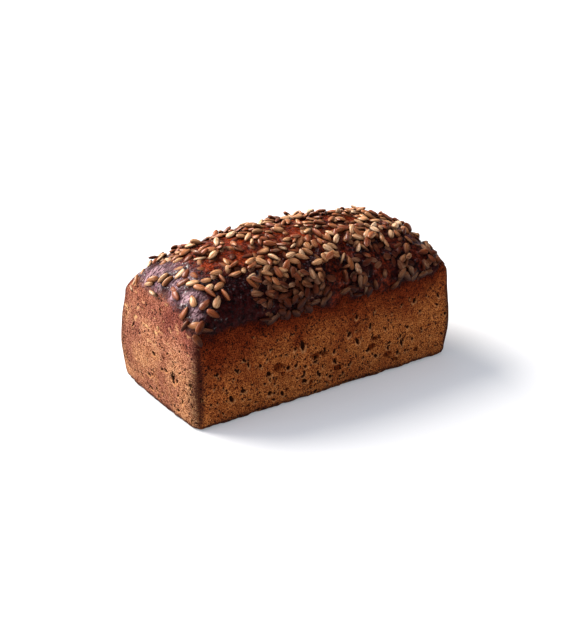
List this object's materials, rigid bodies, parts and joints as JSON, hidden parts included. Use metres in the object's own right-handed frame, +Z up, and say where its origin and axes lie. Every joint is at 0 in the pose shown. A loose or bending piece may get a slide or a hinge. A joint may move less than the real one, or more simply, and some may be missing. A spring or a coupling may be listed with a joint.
{
  "type": "sunflower loaf",
  "caption": "Tin-baked dark loaf with flat walls, a domed glazed crown and hulled sunflower kernels baked onto the crown; it rests on its flat base.",
  "frame": {"origin": "centre of the flat base, on the surface that the loaf stands on", "axes": "+Z up; X along the loaf, with the barer end of the crown at -X; the long walls face -Y and +Y"},
  "size_m": [0.2416, 0.117, 0.1183],
  "materials": {
    "crust": "matte orange-brown crust on the walls, dark mahogany glaze on the crown",
    "kernels": "dry toasted seed, slightly waxy"
  },
  "bodies": {
    "root": {"loaf": "crust", "kernel_01": "kernels", "kernel_02": "kernels", "kernel_03": "kernels", "kernel_04": "kernels", "kernel_05": "kernels", "kernel_06": "kernels", "kernel_07": "kernels", "kernel_08": "kernels", "kernel_09": "kernels", "kernel_10": "kernels", "kernel_11": "kernels", "kernel_12": "kernels", "kernel_13": "kernels", "kernel_14": "kernels", "kernel_15": "kernels", "kernel_16": "kernels", "kernel_17": "kernels", "kernel_18": "kernels", "kernel_19": "kernels", "kernel_20": "kernels", "kernel_21": "kernels", "kernel_22": "kernels", "kernel_23": "kernels", "kernel_24": "kernels", "kernel_25": "kernels", "kernel_26": "kernels", "kernel_27": "kernels", "kernel_28": "kernels", "kernel_29": "kernels", "kernel_30": "kernels", "kernel_31": "kernels", "kernel_32": "kernels", "kernel_33": "kernels", "kernel_34": "kernels", "kernel_35": "kernels", "kernel_36": "kernels", "kernel_37": "kernels", "kernel_38": "kernels", "kernel_39": "kernels", "kernel_40": "kernels", "kernel_41": "kernels", "kernel_42": "kernels", "kernel_43": "kernels", "kernel_44": "kernels", "kernel_45": "kernels", "kernel_46": "kernels", "kernel_47": "kernels", "kernel_48": "kernels", "kernel_49": "kernels", "kernel_50": "kernels", "kernel_51": "kernels", "kernel_52": "kernels", "kernel_53": "kernels", "kernel_54": "kernels", "kernel_55": "kernels", "kernel_56": "kernels", "kernel_57": "kernels", "kernel_58": "kernels", "kernel_59": "kernels"}
  },
  "joints": []
}
